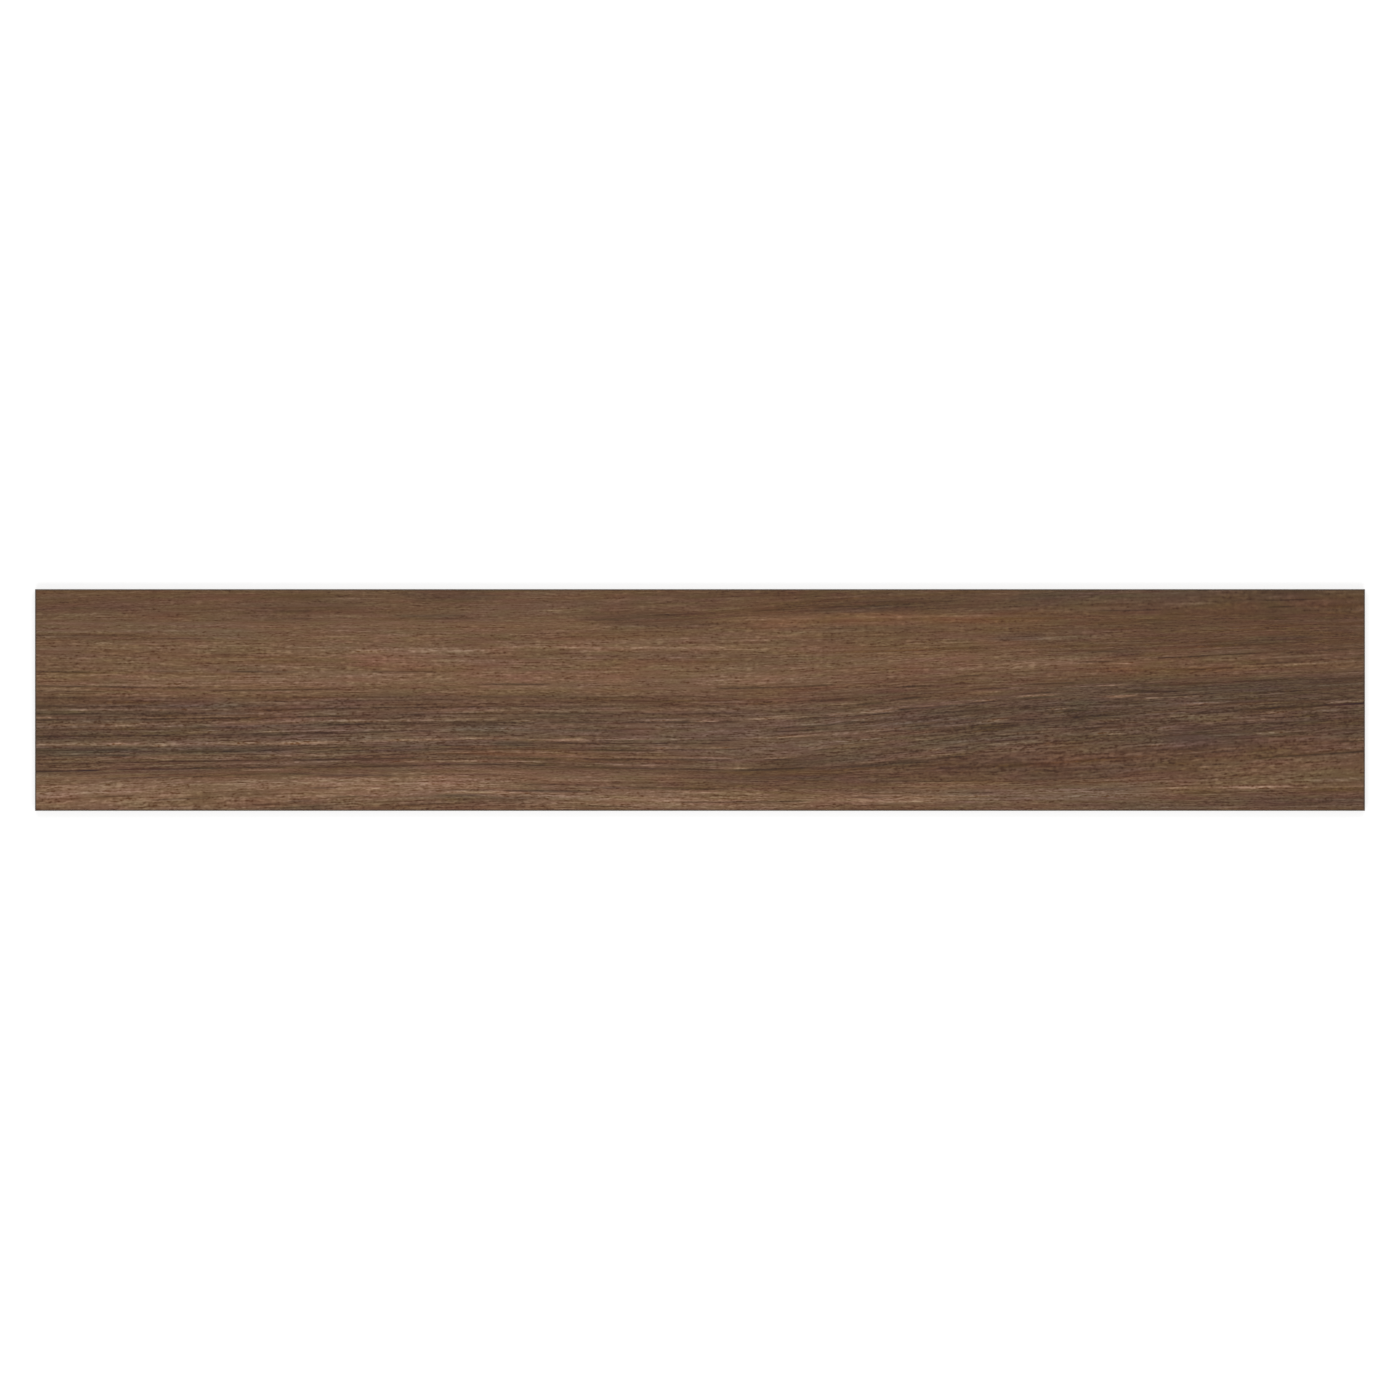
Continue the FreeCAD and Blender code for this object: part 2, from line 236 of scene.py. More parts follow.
# Growth lines: mm from the left end where one starts and ends, its mm below the top edge at its start, its
# thickness and its strength, dark ones first
darkLines = (
    (-10, 155, 87.3, 1.1, 0.7), (150, 275, 91.3, 1.2, 0.6), (-10, 55, 74.8, 1.3, 0.7),
    (100, 140, 74.3, 1.2, 0.5), (170, 245, 74.4, 1.4, 0.7), (295, 370, 74.6, 1.2, 0.6),
    (392, 470, 85.7, 1.1, 0.7), (610, 725, 89.8, 1.3, 0.8), (-10, 100, 42, 1.4, 0.35),
    (80, 165, 44.6, 1.2, 0.5), (-10, 230, 105.5, 1.6, 0.5), (200, 400, 101.5, 1.4, 0.45),
    (430, 640, 101.5, 1.4, 0.4), (-10, 135, 117.8, 1.4, 0.7), (135, 315, 124.6, 1.6, 0.75),
    (315, 425, 121.8, 1.4, 0.75), (400, 520, 120.4, 1.2, 0.6), (520, 640, 120.2, 1.3, 0.75),
    (-10, 135, 133, 1.7, 0.6), (135, 365, 132.2, 1.7, 0.6), (-10, 100, 145.4, 1.8, 0.6),
    (125, 235, 147, 1.6, 0.8), (235, 348, 147.2, 1.3, 0.55), (320, 365, 145.3, 1.4, 0.5),
    (-10, 95, 150.7, 1.4, 0.6), (-10, 75, 157.9, 1.4, 0.65), (80, 220, 156.2, 1.5, 0.7),
    (225, 355, 154.6, 1.5, 0.7), (-10, 65, 164.8, 1.8, 0.9), (70, 235, 163.2, 1.6, 0.75),
    (235, 360, 161, 1.6, 0.75), (355, 470, 158, 1.4, 0.7), (470, 520, 159.8, 1.3, 0.4),
    (505, 625, 161, 1.5, 0.75), (620, 700, 163.2, 1.5, 0.7), (695, 815, 162.6, 1.6, 0.75),
    (55, 180, 171, 1.2, 0.6), (165, 258, 167.6, 1.2, 0.45), (250, 330, 168, 1.6, 0.65),
    (340, 430, 167, 1.3, 0.35), (355, 425, 181.3, 1.2, 0.5), (418, 508, 181.8, 1.6, 0.75),
    (245, 275, 179.5, 1.3, 0.6), (455, 625, 138.6, 1.2, 0.6), (430, 545, 127.3, 1.4, 0.5),
    (475, 565, 144.8, 1.4, 0.8), (395, 480, 152.5, 1.3, 0.5), (490, 545, 153.8, 1.3, 0.5),
    (430, 525, 115.5, 1.2, 0.5), (505, 635, 179, 1.8, 0.55), (575, 700, 192, 1.4, 0.7),
    (485, 545, 195.3, 1.2, 0.5), (735, 765, 188, 1.4, 0.7), (50, 95, 187.6, 1.2, 0.6),
    (100, 160, 190.3, 1.2, 0.6), (190, 224, 195, 1.6, 0.65), (226, 252, 191.6, 1.5, 0.65),
    (265, 310, 187.6, 1.1, 0.5), (355, 412, 186.6, 2.2, 0.6), (405, 455, 188.4, 1.6, 0.5),
    (665, 770, 125.2, 1.4, 0.7), (655, 725, 129.2, 1.3, 0.6), (675, 780, 118.2, 1.4, 0.6),
    (690, 740, 100.4, 1.2, 0.6), (765, 820, 100.2, 1.4, 0.7), (735, 770, 104.6, 1.3, 0.6),
    (775, 820, 88.5, 1.4, 0.8), (828, 860, 79, 1.3, 0.6), (838, 882, 90.8, 1.4, 0.7),
    (888, 945, 86.2, 1.4, 0.8), (798, 868, 107.4, 1.2, 0.6), (888, 928, 98.9, 1.1, 0.8),
    (850, 890, 125.4, 1.4, 0.7), (955, 980, 121.8, 1.5, 0.7), (996, 1035, 93.4, 1.3, 0.7),
    (1018, 1075, 96.5, 1.2, 0.6), (1045, 1070, 111.4, 1.6, 0.8), (1070, 1210, 109.8, 1.5, 0.75),
    (1035, 1062, 73, 1.1, 0.6), (1060, 1090, 71.7, 1.2, 0.7), (1102, 1150, 67.7, 1.4, 0.95),
    (1145, 1210, 66.8, 1.2, 0.85), (1005, 1085, 62.3, 1.1, 0.6), (1065, 1115, 59.5, 1.1, 0.6),
    (1125, 1210, 56.8, 1.1, 0.5), (1095, 1210, 153, 1.4, 0.75), (1105, 1150, 132, 1.3, 0.6),
    (1105, 1155, 121.8, 1.5, 0.7), (1170, 1210, 138.2, 1.3, 0.7), (812, 850, 162, 1.5, 0.7),
    (866, 886, 154.3, 1.6, 0.7), (770, 870, 173.2, 1.4, 0.3), (938, 975, 171.4, 1.3, 0.45),
    (838, 868, 184, 1.3, 0.7), (945, 995, 181, 1.1, 0.5), (955, 1020, 19.4, 1.1, 0.7),
    (1100, 1165, 10.4, 1.2, 0.7), (1108, 1140, 16.2, 1.2, 0.7), (1110, 1135, 26.2, 1.3, 0.6),
    (342, 405, 27, 1.4, 0.4), (485, 535, 28, 1.3, 0.4), (548, 600, 24, 1.4, 0.4),
    (620, 645, 24, 1.6, 0.4), (700, 735, 17, 1.8, 0.6), (730, 780, 16.2, 1.6, 0.4),
    (1078, 1125, 83.6, 1.6, 0.5), (945, 990, 56.8, 1.6, 0.6), (760, 900, 128, 1.6, 0.5),
    (800, 860, 113, 1.3, 0.4), (-10, 200, 112.8, 1.3, 0.5), (200, 640, 108.5, 1.3, 0.5),
    (130, 640, 116.5, 1.3, 0.5), (130, 400, 145.5, 1.2, 0.35), (560, 640, 144.8, 1.3, 0.5),
    (360, 470, 144.5, 1.2, 0.45), (545, 640, 153.5, 1.3, 0.5), (500, 640, 136.8, 1, 0.6),
    (490, 560, 152.8, 1.2, 0.55), (620, 656, 88.3, 1.1, 0.5), (698, 738, 101.3, 1.1, 0.6),
    (744, 764, 104.2, 1.2, 0.6), (778, 802, 98.6, 1.1, 0.7), (720, 766, 121.2, 1.5, 0.6),
    (704, 722, 145.2, 1.1, 0.6), (654, 692, 154.2, 1.2, 0.6), (745, 800, 150.2, 1.3, 0.75),
    (758, 802, 156.5, 1.4, 0.75), (660, 702, 162.4, 1.3, 0.7), (600, 622, 139.6, 1.2, 0.5),
    (935, 978, 66.4, 1, 0.7), (1000, 1062, 63, 1, 0.6), (984, 1012, 92.6, 2.2, 0.6),
    (938, 962, 83, 1.5, 0.5), (1165, 1210, 148.4, 1.2, 0.8), (1168, 1210, 105, 1.4, 0.6),
    (1080, 1150, 128, 1.3, 0.5), (775, 790, 109.6, 1.1, 0.6), (838, 878, 103.2, 1.2, 0.6),
    (924, 952, 110.3, 1.3, 0.6), (824, 842, 144.2, 1.3, 0.5), (783, 806, 147.6, 1.3, 0.6),
    (-10, 21, 118.1, 1.3, 0.8), (94, 122, 118, 1.3, 0.8), (163, 205, 125.4, 1.4, 0.7),
    (59, 93, 150.5, 1.3, 0.8), (38, 56, 157.2, 1.3, 0.7), (-10, 70, 92, 1.1, 0.5),
    (-10, 160, 97.9, 1.2, 0.4), (150, 420, 98.4, 1.2, 0.4), (400, 640, 97.3, 1.2, 0.35),
    (1043, 1057, 158.2, 1.8, 0.6), (1060, 1073, 158.6, 1.6, 0.6), (1081, 1092, 158, 1.4, 0.5),
    (1044, 1055, 151, 1.4, 0.5), (772, 838, 109.6, 1.5, 0.6), (788, 810, 118.8, 1.8, 0.65),
    (810, 842, 153, 1.6, 0.6), (884, 924, 94.6, 1.4, 0.65), (932, 974, 116, 1.8, 0.7),
    (932, 964, 127.4, 2, 0.55), (1054, 1090, 148, 1.6, 0.65), (432, 508, 176, 1.5, 0.45),
    (330, 372, 194.6, 2.2, 0.3), (-10, 110, 18.2, 1.6, 0.25), (200, 262, 20, 1.6, 0.3),
    (205, 262, 27, 1.5, 0.3), (640, 695, 20.4, 1.6, 0.35),
)
lightLines = (
    (-10, 210, 140.6, 3, 0.55), (200, 290, 139.6, 2.4, 0.9), (285, 380, 137.4, 2, 0.85),
    (365, 446, 135.1, 2, 0.65), (415, 505, 136, 1.8, 0.65), (500, 600, 135.6, 1.8, 0.35),
    (630, 800, 134.8, 2, 0.5), (130, 185, 129.2, 1.7, 0.65), (180, 290, 129, 1.6, 0.4),
    (-10, 140, 122.6, 2, 0.45), (150, 300, 120.5, 2.2, 0.45), (270, 425, 119.6, 1.8, 0.6),
    (434, 453, 119, 1.3, 0.7), (544, 588, 118.5, 1.3, 0.7), (591, 617, 119.3, 1.2, 0.7),
    (628, 715, 117.2, 2, 0.45), (710, 780, 113.4, 1.7, 0.65), (772, 790, 107.4, 1.2, 0.6),
    (795, 816, 106.2, 1.6, 0.6), (815, 838, 104.8, 1.8, 0.6), (838, 882, 93.8, 1.7, 0.75),
    (880, 928, 97.3, 1.3, 0.9), (958, 1000, 97.2, 1.7, 0.6), (1160, 1210, 102.6, 1.7, 0.6),
    (20, 180, 153.6, 2, 0.35), (410, 515, 52.2, 1.5, 0.75), (535, 565, 52.7, 1.4, 0.8),
    (575, 635, 52.7, 1.3, 0.6), (280, 320, 55.8, 1.5, 0.8), (338, 365, 55.9, 1.4, 0.7),
    (125, 155, 51, 1.1, 0.6), (485, 525, 55.8, 1.1, 0.6), (730, 870, 25.3, 1.4, 0.45),
    (748, 770, 30.6, 1.1, 0.6), (630, 670, 46.1, 1.1, 0.6), (965, 998, 67.7, 1.4, 0.8),
    (900, 950, 65, 1.2, 0.6), (1110, 1210, 69.4, 1.2, 0.65), (360, 455, 183.5, 1.3, 0.8),
    (575, 670, 183.6, 1.6, 0.7), (612, 670, 187.6, 1.3, 0.6), (775, 868, 187.6, 1.4, 0.75),
    (748, 815, 192, 1.4, 0.7), (1000, 1140, 180, 1.5, 0.85), (1080, 1112, 179.7, 1.4, 0.8),
    (1135, 1210, 178.8, 1.3, 0.7), (165, 232, 176, 1.3, 0.45), (235, 275, 175, 1.4, 0.6),
    (346, 380, 175.6, 2.8, 0.85), (45, 92, 71.2, 1.1, 0.5), (108, 128, 67.6, 1.2, 0.7),
    (162, 240, 82, 1.2, 0.5), (685, 715, 141.2, 1.3, 0.6), (558, 578, 143.4, 1.4, 0.8),
    (602, 650, 161.5, 1.4, 0.7), (541, 580, 168.6, 1.2, 0.5), (854, 880, 119, 2.4, 0.65),
    (946, 984, 119.4, 3, 0.5), (1010, 1028, 126, 1.4, 0.6), (965, 985, 130.8, 1.3, 0.7),
    (803, 832, 150.5, 1.3, 0.6), (52, 70, 48.7, 1.1, 0.6), (280, 320, 172.4, 1.3, 0.5),
    (690, 820, 144, 1.7, 0.4), (-10, 180, 109, 1.3, 0.5), (330, 640, 110.2, 1.2, 0.45),
    (-10, 200, 116.3, 1.3, 0.4), (55, 90, 123.4, 1, 0.7), (200, 330, 150.5, 1.5, 0.5),
    (330, 480, 148, 1.4, 0.4), (440, 640, 150, 1.4, 0.4), (15, 80, 148.8, 1.2, 0.4),
    (230, 330, 145.3, 1.1, 0.35), (330, 460, 143.2, 1.2, 0.35), (540, 640, 143, 1.2, 0.45),
    (12, 66, 162.6, 1, 0.7), (100, 300, 158.8, 1.2, 0.4), (310, 460, 155.8, 1.2, 0.6),
    (515, 570, 158.4, 1, 0.7), (216, 246, 139.8, 1.6, 0.8), (205, 221, 128.6, 1.2, 0.7),
    (474, 497, 135.4, 1.4, 0.8), (185, 232, 163.5, 1.1, 0.6), (590, 622, 119.3, 1, 0.6),
    (548, 566, 110.8, 1, 0.6), (638, 668, 117.6, 1.1, 0.6), (660, 702, 114.6, 1.1, 0.5),
    (714, 748, 104.6, 1.1, 0.6), (714, 742, 115.6, 1.1, 0.6), (748, 778, 111.8, 1.2, 0.6),
    (664, 702, 134, 1.4, 0.75), (724, 752, 132, 1.1, 0.6), (608, 632, 143, 1.1, 0.7),
    (654, 692, 152.8, 1.1, 0.6), (614, 652, 161, 1, 0.5), (806, 823, 145.2, 2.4, 0.55),
    (844, 868, 101.4, 1.2, 0.8), (950, 992, 87.6, 1.3, 0.6), (968, 992, 97.4, 1.4, 0.7),
    (1024, 1080, 104.8, 2, 0.55), (1040, 1135, 106.6, 1.3, 0.5), (952, 972, 130.6, 1.1, 0.6),
    (1074, 1094, 125, 1.1, 0.3), (1180, 1210, 136.6, 1.5, 0.65), (1060, 1210, 64.4, 1.1, 0.5),
    (1080, 1210, 69.8, 1.3, 0.6), (980, 1004, 121, 1.3, 0.6), (800, 880, 125, 1.2, 0.35),
    (825, 836, 109.4, 1.1, 0.6), (836, 853, 114.8, 1.8, 0.55), (785, 813, 131, 1.2, 0.5),
    (893, 920, 129.6, 1.6, 0.45), (912, 937, 108.6, 1.4, 0.6), (845, 863, 80.4, 1.2, 0.5),
    (890, 901, 66.2, 1.2, 0.6), (886, 893, 71, 1.6, 0.5), (1002, 1017, 84, 1.2, 0.5),
    (970, 981, 97.6, 1.2, 0.6), (1004, 1017, 98.3, 1.2, 0.6), (1089, 1097, 115.5, 1.3, 0.7),
    (1050, 1068, 121.2, 1.8, 0.5), (1004, 1016, 141, 1.3, 0.6), (1052, 1098, 145.8, 1.3, 0.5),
    (38, 50, 109.4, 1.2, 0.8), (107, 119, 109.2, 1.1, 0.6), (-10, 20, 116, 1.3, 0.8),
    (94, 112, 116.2, 1.1, 0.6), (111, 125, 124, 1.1, 0.7), (69, 84, 139.6, 1.6, 0.8),
    (104, 121, 141.4, 1.3, 0.8), (174, 189, 140.4, 1.4, 0.8), (46, 53, 155.8, 1.2, 0.8),
    (60, 95, 148.4, 1.1, 0.6), (110, 122, 154, 1.1, 0.5), (169, 191, 152.6, 1.1, 0.5),
    (15, 140, 95.3, 1.2, 0.55), (1045, 1055, 154.6, 1.6, 0.55), (1069, 1080, 154, 1.6, 0.6),
    (1051, 1062, 161, 1.5, 0.6), (1072, 1086, 160.6, 1.4, 0.45), (790, 818, 122.4, 1.6, 0.35),
    (866, 906, 131.6, 1.8, 0.5), (826, 850, 141.2, 1.8, 0.4), (853, 905, 141, 1.6, 0.35),
    (783, 812, 152.6, 2, 0.42), (735, 782, 157.4, 1.6, 0.48), (738, 768, 148.6, 1.6, 0.4),
    (738, 766, 119.4, 1.5, 0.4), (740, 795, 128.8, 1.8, 0.28), (926, 952, 88.4, 1.4, 0.4),
    (985, 1060, 99.4, 1.2, 0.35), (990, 1060, 116.8, 1.5, 0.35), (902, 930, 126.6, 1.6, 0.35),
    (1104, 1132, 112.2, 1.8, 0.55), (1066, 1122, 120, 1.8, 0.4), (1094, 1136, 130.8, 1.8, 0.42),
    (1145, 1205, 146.6, 1.2, 0.45), (1150, 1210, 110.8, 1.6, 0.35), (1085, 1145, 79.6, 1.5, 0.35),
    (350, 381, 169.8, 2.4, 0.55), (190, 207, 172.4, 1.5, 0.8), (294, 328, 179.8, 1.8, 0.7),
    (-10, 30, 169, 2.4, 0.5), (35, 78, 180, 1.8, 0.6), (74, 118, 190.2, 1.5, 0.7),
    (456, 504, 171.4, 2.2, 0.45), (252, 308, 193.8, 1.2, 0.6), (500, 524, 172.6, 1.6, 0.6),
    (405, 436, 165.4, 1.6, 0.55), (505, 585, 10, 2, 0.35), (455, 494, 19.6, 1.6, 0.45),
    (585, 642, 19.8, 1.4, 0.4), (540, 566, 16, 1.6, 0.35), (568, 592, 15.4, 1.5, 0.4),
    (938, 998, 17.2, 1.8, 0.38), (1018, 1070, 13.6, 2, 0.4), (630, 712, 27.6, 1.6, 0.35),
    (985, 1025, 23.2, 1.5, 0.3), (20, 66, 23, 1.8, 0.25), (5, 46, 31, 2, 0.25),
    (266, 292, 23.8, 1.5, 0.35), (268, 320, 8.2, 2, 0.3),
)
# How lively the fibres are: a place's start, end, middle and half height as for a band, then their strength
liveliness = (
    (-40, 660, 17, 18, 0.52), (640, 1260, 15, 22, 0.58), (-40, 440, 132.5, 26, 1.35),
    (440, 740, 132, 26, 1.0), (740, 1260, 122, 28, 1.45), (-40, 1260, 187, 13, 1.05),
    (1025, 1100, 132, 8, 0.65), (-40, 300, 185, 14, 0.92),
)
printLook = {
    "fray": 1.4,  # mm that a band's edge wanders from fibre to fibre
    "frayFibres": (60, 1.5),  # mm long, mm wide
    "rag": 26,  # mm that a band's ends wander
    "ragMost": 0.35,  # at most, as a share of half its length
    "ragFibres": (90, 1.3),
    "bandFall": (0.7, 0.9),  # how fast a band fades across and lengthwise
    "waver": 0.12,  # mm that a growth line leaves its fibre
    "waverFibres": (16, 3),
    "tip": 14,  # mm in which a growth line thins away, or a quarter of it where it is short
    "broken": (0.8, 0.35),  # a growth line's strength, and how much of that comes and goes
    "cover": 0.95,  # how far a full growth line hides the wood
    "lively": 0.78,  # the fibres' strength in all other places
    "streaks": ((140, 1.1, 14), (60, 1.05, 12), (26, 1.05, 9)),  # mm long, mm wide, sRGB levels
    "sparse": 2.2,  # power that leaves most streaks faint and a few of them strong
    "streakMost": 1.1,  # the liveliness past which streaks grow no stronger
    "streakGroove": (0.5, 0.1),  # a dark streak's depth beside a dark line's, and the level where it starts
    "drifts": (  # mm long, mm wide, sRGB levels, and what they do to red, green and blue
        (70, 5, 1.4, (1.0, 0.0, -1.0)),  # between warm and cool
        (22, 3, 2.2, (0.5, -0.9, 0.5)),  # between ruddy and green
    ),
    "seeds": {"fray": 7, "rag": 8, "waver": 9, "streaks": 17, "drifts": 37},
}


def bandWeight(along, grain, ragged, start, end, level, half):
    # 1 in the middle of a band that follows the grain, falling off across it and at its ragged ends: e to the
    # power of minus the cube of the way across and of minus the sixth power of the way along
    middle, reach = (start + end) / 2, (end - start) / 2
    near, far = (float(grainAt(np.array(middle), np.array(level + side * half))) for side in (-1, 1))
    across = np.abs(2 * grain - near - far) / (far - near)
    rag = min(printLook["rag"], printLook["ragMost"] * reach)
    lengthwise = np.abs(along + rag * ragged - middle) / reach
    sideFall, endFall = printLook["bandFall"]
    return np.exp(-sideFall * across ** 3 - endFall * lengthwise ** 6)


def lineWeight(along, grain, waver, start, end, level, thick):
    # 1 on a line that follows the grain from its start, thinning away at both ends and broken on its way: e
    # to the power of minus the square of the way across
    foot = np.array(max(start, 0.0))
    near, place, far = (float(grainAt(foot, np.array(level + side))) for side in (-0.5, 0, 0.5))
    across = (grain + printLook["waver"] * waver - place) / (0.5 * thick * (far - near))
    tip = min(printLook["tip"], (end - start) / 4)
    taper = eased((along - start) / tip) * eased((end - along) / tip)
    steady, broken = printLook["broken"]
    return taper * (steady + broken * waver) * np.exp(-across ** 2)


def paintPrint(along, grain):
    # the printed colour in sRGB levels of 0 to 1, how lively its fibres are, and how deep its grooves
    look = printLook
    seeds = look["seeds"]
    tone = np.zeros((*along.shape, 3)) + hexLevels(walnut["brown"])
    frayed = grain + look["fray"] * fibreNoise(along, grain, *look["frayFibres"], seeds["fray"])
    ragged = fibreNoise(along, grain, *look["ragFibres"], seeds["rag"])
    for start, end, level, half, colour, amount in bands:
        weight = amount * bandWeight(along, frayed, ragged, start, end, level, half)
        tone += weight[..., None] * (hexLevels(walnut[colour]) - tone)
    lively = np.full(along.shape, look["lively"])
    for start, end, level, half, amount in liveliness:
        lively += bandWeight(along, frayed, ragged, start, end, level, half) * (amount - lively)
    grooves = np.zeros(along.shape)
    waver = fibreNoise(along, grain, *look["waverFibres"], seeds["waver"])
    for lines, colour, groove in ((darkLines, "lateWood", 1.0), (lightLines, "earlyWood", 0.0)):
        for start, end, level, thick, amount in lines:
            weight = amount * lineWeight(along, grain, waver, start, end, level, thick)
            tone += (look["cover"] * weight)[..., None] * (hexLevels(walnut[colour]) - tone)
            grooves = np.maximum(grooves, groove * weight)
    deep, faint = look["streakGroove"]
    for count, (long, wide, levels) in enumerate(look["streaks"]):
        even = fibreNoise(along, grain, long, wide, seeds["streaks"] + count)
        streak = np.sign(even) * np.abs(even) ** look["sparse"]
        tone += (streak * np.minimum(lively, look["streakMost"]) * levels / 255)[..., None]
        grooves = np.maximum(grooves, deep * lively * np.clip(-streak - faint, 0, 1))
    for count, (long, wide, levels, hue) in enumerate(look["drifts"]):
        drift = fibreNoise(along, grain, long, wide, seeds["drifts"] + count) * levels / 255
        tone += drift[..., None] * np.array(hue)
    return np.clip(tone, 0, 1), lively, np.clip(grooves, 0, 1)


# Matte inkjet-printed glaze: fired pigment under a satin skin, so colour with hardly any shine
printedGlaze = {
    "fibres": (  # mm long, mm wide and swing of each layer
        (2.4, 1.3, 0.62), (4.5, 1.25, 0.8), (10, 1.2, 0.66), (22, 1.15, 0.7), (50, 1.15, 0.6),
    ),
    "peaked": (0.5, 1.7),  # small swings are softened and large ones raised
    "patch": (38, 5),  # mm, patches in which the fibres are faint or strong
    "patchSwing": (0.5, 1.45),
    "fleck": (8, 1.3, 0.75),  # light dashes of early wood: mm long, mm wide, share of the colour
    "pore": (9, 1.2, 0.32),  # dark open pores
    "dashLevels": (0.56, 0.8),  # noise levels at which a fleck or pore starts and is full
    "cluster": (110, 4.5),  # flecks and pores gather in rows of this size
    "clusterSwing": (0.15, 1.3),
    "fullSwing": 0.7,  # the swing either way that gives a fibre's darkest and lightest
    "dark": (0.47, 0.3, 0.12),  # what these do to red, green and blue
    "light": (1.53, 1.7, 1.88),
    "blotch": (45, 14, 0.02),  # slow drift of hue
    "blotchHue": (1.0, -0.4, -1.0),
    # where in the noise each lies: a layer from the one before, a cluster from its fleck or pore
    "shift": {"fibres": 3, "layer": 13, "patch": 55, "pore": 67, "fleck": 81, "cluster": 5, "blotch": 41},
    "roughness": (0.5, 0.66),
    "roughFibres": 0.5,  # what a fibre adds to a groove's roughness
    "roughLevels": (-0.2, 0.8),  # the sums that give the smoothest and the roughest
    "shine": 0.25,
    "bump": 0.05,  # mm
    "veil": 0.016,  # white that the satin skin mirrors, taken off the pigment beneath it
    "darkest": 0.004,  # pigment that is always left
    "paintedEdgeShade": (1.0, 0.6),  # painted shade: mm in from the bevel over which the colour is darkened, and how much light it keeps
}

# The plank: its sizes are those of the pressed and ground slab, in mm
plank = {
    "faceArris": 0.8,
    "backArris": 0.5,
    "cell": 26.0,  # a sunk cell of the back, at its mouth
    "rib": 4.0,
    "cellDepth": 0.7,
    "cellDraft": 35.0,  # degrees
    "backBorder": 10.0,
    "columns": 200,  # quads along the face
    "rows": 432,  # and across it
    "grooveDepth": 0.2,
    "waviness": 0.06,
    "waves": (110, 7),  # along the grain and across it
    "waveSeed": 31,
    "reliefFade": 1.6,  # in from the bevel, where the relief dies out
    "sharpAngle": 42,  # degrees, past which an edge stays crisp
}
low, high = (np.array(corner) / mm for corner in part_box("plank_tile"))
length, width, thickness = high - low
centre = (low + high)[:2] / 2


def gridQuads(first, columns, rows):
    # the quads of a grid whose vertices run along its columns, row after row, facing +Z where rows go up
    corner = first + np.arange(columns)[None, :] + np.arange(rows)[:, None] * (columns + 1)
    return np.stack((corner, corner + 1, corner + columns + 2, corner + columns + 1), -1).reshape(-1, 4)


def faceGrid():
    # columns at equal steps along the plank; rows that follow the grain lines, squeezed between the two edges
    inset = plank["faceArris"]
    x = np.linspace(inset, length - inset, plank["columns"] + 1)
    lines = grainLines(x)
    inside = grainFlow["rowLines"]
    rungs = [inset, *(grainLevels[i] for i in inside), width - inset]
    heights = [inset + 0 * x, *(lines[i] for i in inside), width - inset + 0 * x]
    rows = np.linspace(width - inset, inset, plank["rows"] + 1)
    along = np.broadcast_to(x, (len(rows), len(x)))
    down = ladder(rows[:, None] + 0 * along, rungs, heights)
    return along, down


def reliefOf(along, down, grain, grooves):
    # mm below the highest face: grooves under the dark lines, a slow wave over them, none at the ground edges
    wave = 0.5 + 0.5 * fibreNoise(along, grain, *plank["waves"], plank["waveSeed"])
    depth = plank["grooveDepth"] * grooves + plank["waviness"] * wave
    toEdge = np.minimum.reduce((along, length - along, down, width - down)) - plank["faceArris"]
    return depth * eased(toEdge / plank["reliefFade"])


def facePart():
    # the printed face: its points, its way across the grain, its colour, liveliness and grooves
    along, down = faceGrid()
    grain = grainAt(along, down)
    tone, lively, grooves = paintPrint(along, grain)
    drop = reliefOf(along, down, grain, grooves)
    points = np.stack((along + low[0], high[1] - down, high[2] - drop), -1).reshape(-1, 3)
    print("print painted:", len(bands), "bands,", len(darkLines) + len(lightLines), "growth lines")
    return points, grain, tone, lively, grooves


def rimPart(facePoints):
    # the rim: a profile of (how far in from the side, height) carried round the edge of the face
    columns, rows = plank["columns"], plank["rows"]
    ids = np.arange(len(facePoints)).reshape(rows + 1, columns + 1)
    edge = np.concatenate((ids[0, :-1], ids[:-1, -1], ids[-1, :0:-1], ids[:0:-1, 0]))
    outline = facePoints[edge, :2]
    half = np.array((length, width)) / 2
    profile = (
        (0.0, thickness - plank["faceArris"]),
        (0.0, plank["backArris"]),
        (plank["backArris"], 0.0),
    )
    rings = []
    for inset, height in profile:
        spread = centre + (outline - centre) * (half - inset) / (half - plank["faceArris"])
        rings.append(np.column_stack((spread, np.full(len(edge), low[2] + height))))
    ringIds = [edge] + [len(facePoints) + i * len(edge) + np.arange(len(edge)) for i in range(len(profile))]
    quads = []
    for upper, lower in zip(ringIds, ringIds[1:]):
        nextUpper, nextLower = np.roll(upper, -1), np.roll(lower, -1)
        quads.append(np.stack((lower, nextLower, nextUpper, upper), -1))
    return rings, ringIds[-1], quads


def backLines(span):
    # for one direction of the back: where its cells' mouths and floors start and end, and which are floors
    pitch = plank["cell"] + plank["rib"]
    count = math.floor((span - 2 * plank["backBorder"] + plank["rib"]) / pitch)
    centres = (np.arange(count) - (count - 1) / 2) * pitch
    mouth = plank["cell"] / 2
    floor = mouth - plank["cellDepth"] * math.tan(math.radians(plank["cellDraft"]))
    lines = (centres[:, None] + np.array((-mouth, -floor, floor, mouth))).ravel()
    return lines, np.tile((0, 1, 1, 0), count)


